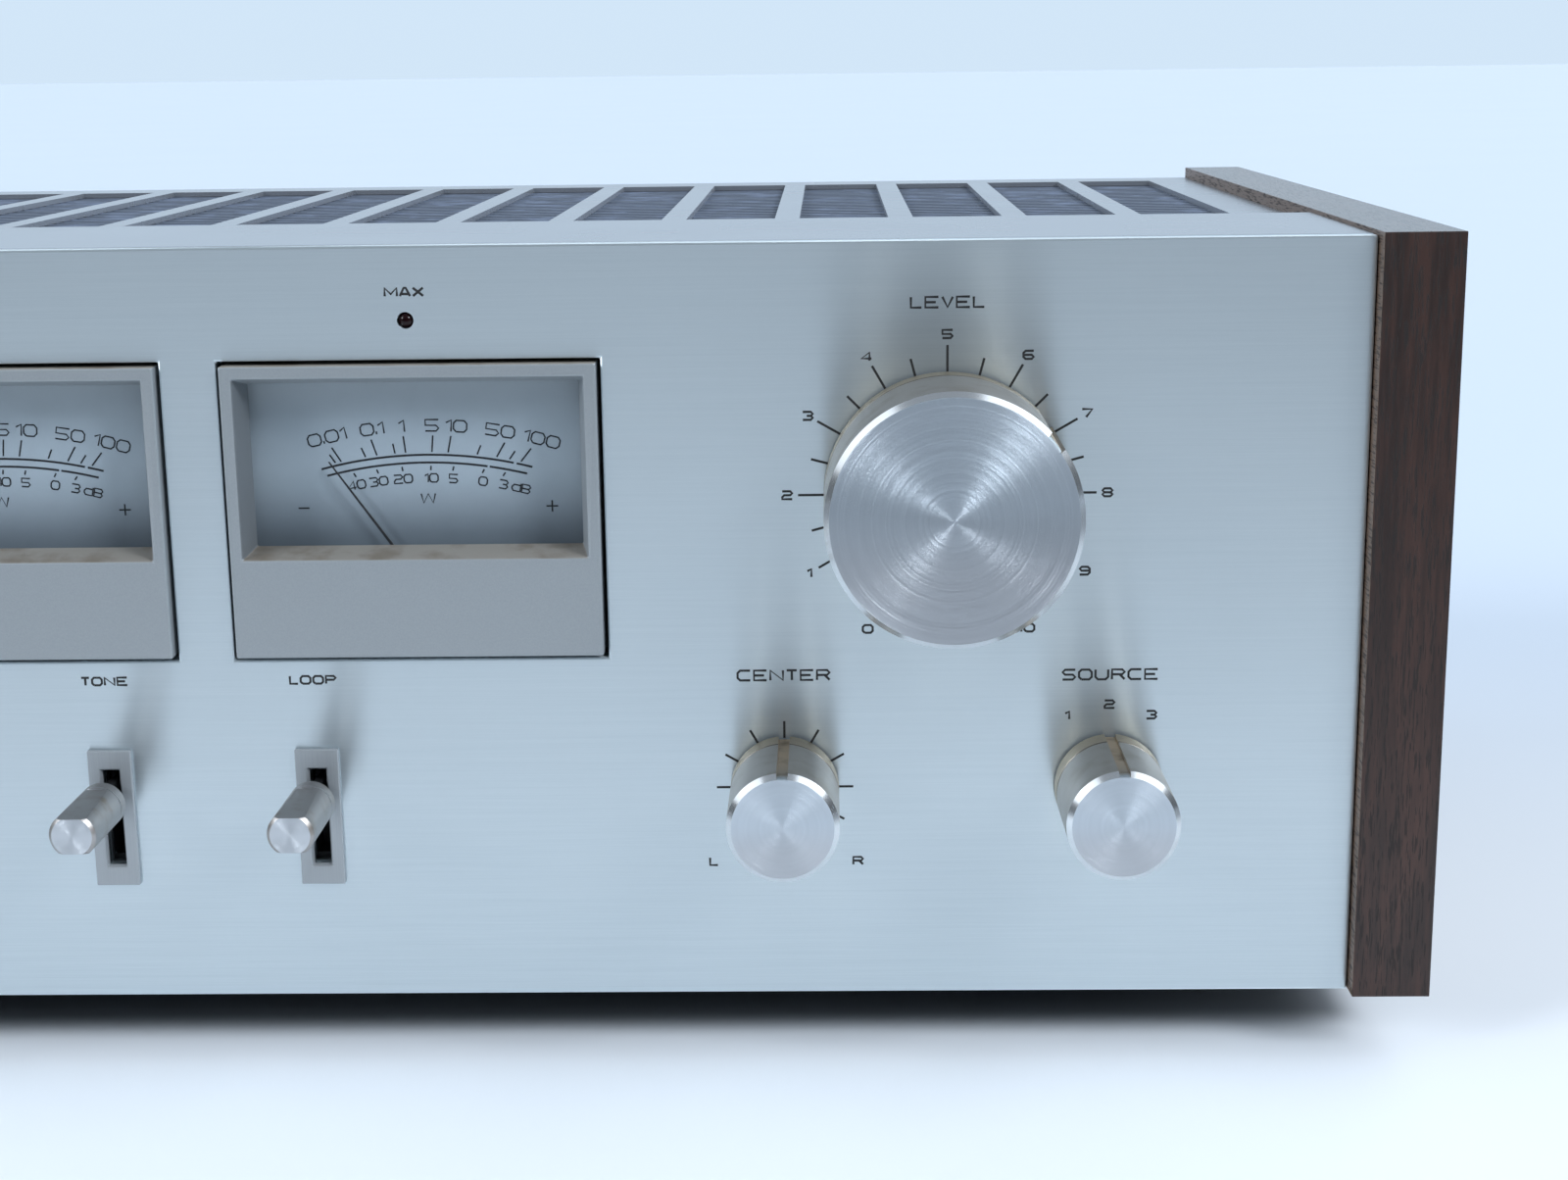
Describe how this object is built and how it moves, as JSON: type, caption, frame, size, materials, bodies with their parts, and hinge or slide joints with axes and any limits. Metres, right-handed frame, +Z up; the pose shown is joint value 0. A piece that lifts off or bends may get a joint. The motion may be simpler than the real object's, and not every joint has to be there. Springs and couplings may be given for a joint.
{
  "type": "stereo amplifier",
  "caption": "Low wide stereo amplifier with a brushed aluminium front, twin power meters, a large volume knob, lever switches, a vented top and walnut side cheeks.",
  "frame": {"origin": "floor level, under the middle of the bounding box", "axes": "+X to the right seen from the front, -Y out of the front panel, +Z up"},
  "size_m": [0.42, 0.26, 0.1497],
  "materials": {
    "panel_aluminium": "brushed along the panel, clear anodised",
    "chassis_steel": "zinc plated sheet",
    "rear_paint": "satin dark grey paint",
    "cover_silver": "silver metallic paint",
    "screen_paint": "satin dark grey paint",
    "walnut": "satin walnut veneer",
    "foot_rubber": "matt black",
    "screw_steel": "zinc plated",
    "bezel_plastic": "satin grey paint on a moulding",
    "window_clear": "clear acrylic",
    "dial_card": "pale blue-grey print",
    "black_plastic": "black moulding",
    "needle_metal": "black paint",
    "movement_steel": "plated steel",
    "lamp_red": "dark red diffused lens",
    "knob_aluminium": "turned, with a bright cut chamfer and a spun face",
    "shaft_steel": "plain steel",
    "blade_steel": "blackened steel",
    "control_steel": "plated can",
    "switch_laminate": "laminate wafers",
    "nut_brass": "nickel plated brass",
    "plate_grey": "satin grey",
    "core_steel": "varnished laminations",
    "winding_copper": "enamelled wire under varnish",
    "capacitor_sleeve": "dark blue sleeve",
    "sink_black": "black anodised extrusion",
    "transistor_black": "black epoxy",
    "board_laminate": "brown paper laminate",
    "post_brass": "plain brass",
    "jack_nickel": "nickel plated"
  },
  "bodies": {
    "chassis": {"front_panel": "panel_aluminium", "sub_panel": "chassis_steel", "bottom_plate": "rear_paint", "side_plate_left": "chassis_steel", "side_plate_right": "chassis_steel", "rear_panel": "rear_paint", "top_cover": "cover_silver", "vent_screen": "screen_paint", "wood_side_left": "walnut", "wood_side_right": "walnut", "feet": "foot_rubber", "case_screws": "screw_steel", "meter_bezel_left": "bezel_plastic", "meter_bezel_right": "bezel_plastic", "meter_window_left": "window_clear", "meter_window_right": "window_clear", "meter_dial_left": "dial_card", "meter_dial_right": "dial_card", "meter_case_left": "black_plastic", "meter_case_right": "black_plastic", "meter_movements": "movement_steel", "peak_lamps": "lamp_red", "volume_pot": "control_steel", "tone_pots": "control_steel", "rotary_switches": "switch_laminate", "control_nuts": "nut_brass", "slide_switches": "black_plastic", "lever_plates": "plate_grey", "phones_jack": "black_plastic", "transformer_core": "core_steel", "transformer_coil": "winding_copper", "filter_capacitors": "capacitor_sleeve", "heat_sink": "sink_black", "output_transistors": "transistor_black", "amplifier_board": "board_laminate", "control_board": "board_laminate", "board_posts": "post_brass", "input_jacks": "jack_nickel", "speaker_terminals": "black_plastic", "cord_gland": "black_plastic"},
    "volume_control": {"volume_knob": "knob_aluminium", "volume_shaft": "shaft_steel"},
    "balance_control": {"balance_knob": "knob_aluminium", "balance_shaft": "shaft_steel"},
    "function_control": {"function_knob": "knob_aluminium", "function_shaft": "shaft_steel"},
    "bass_control": {"bass_knob": "knob_aluminium", "bass_shaft": "shaft_steel"},
    "treble_control": {"treble_knob": "knob_aluminium", "treble_shaft": "shaft_steel"},
    "speaker_control": {"speaker_knob": "knob_aluminium", "speaker_shaft": "shaft_steel"},
    "power_switch_lever": {"power_lever": "knob_aluminium", "power_slider": "blade_steel"},
    "loudness_switch_lever": {"loudness_lever": "knob_aluminium", "loudness_slider": "blade_steel"},
    "tape_switch_lever": {"tape_lever": "knob_aluminium", "tape_slider": "blade_steel"},
    "needle_left": {"meter_needle_left": "needle_metal"},
    "needle_right": {"meter_needle_right": "needle_metal"}
  },
  "joints": [
    {"name": "volume_turn", "type": "hinge", "parent": "chassis", "child": "volume_control", "pos_m": [0.1225, -0.104, 0.1049], "axis": [0, 1, 0], "range_deg": [-202, 98]},
    {"name": "balance_turn", "type": "hinge", "parent": "chassis", "child": "balance_control", "pos_m": [0.09345, -0.104, 0.0515], "axis": [0, 1, 0], "range_deg": [-150, 150]},
    {"name": "function_turn", "type": "hinge", "parent": "chassis", "child": "function_control", "pos_m": [0.15155, -0.104, 0.0515], "axis": [0, 1, 0], "range_deg": [-30, 30]},
    {"name": "bass_turn", "type": "hinge", "parent": "chassis", "child": "bass_control", "pos_m": [-0.1338, -0.104, 0.0515], "axis": [0, 1, 0], "range_deg": [-150, 150]},
    {"name": "treble_turn", "type": "hinge", "parent": "chassis", "child": "treble_control", "pos_m": [-0.0908, -0.104, 0.0515], "axis": [0, 1, 0], "range_deg": [-150, 150]},
    {"name": "speaker_turn", "type": "hinge", "parent": "chassis", "child": "speaker_control", "pos_m": [-0.1158, -0.104, 0.1049], "axis": [0, 1, 0], "range_deg": [-30, 60]},
    {"name": "power_slide", "type": "slide", "parent": "chassis", "child": "power_switch_lever", "axis": [0, 0, -1], "range_m": [0, 0.0088]},
    {"name": "loudness_slide", "type": "slide", "parent": "chassis", "child": "loudness_switch_lever", "axis": [0, 0, -1], "range_m": [0, 0.0088]},
    {"name": "tape_slide", "type": "slide", "parent": "chassis", "child": "tape_switch_lever", "axis": [0, 0, -1], "range_m": [0, 0.0088]},
    {"name": "needle_left_swing", "type": "hinge", "parent": "chassis", "child": "needle_left", "pos_m": [-0.04823, -0.0977, 0.08758], "axis": [0, 1, 0], "range_deg": [0, 74], "stiffness_Nm_per_rad": 0.002},
    {"name": "needle_right_swing", "type": "hinge", "parent": "chassis", "child": "needle_right", "pos_m": [0.02882, -0.0977, 0.08758], "axis": [0, 1, 0], "range_deg": [0, 74], "stiffness_Nm_per_rad": 0.002}
  ]
}
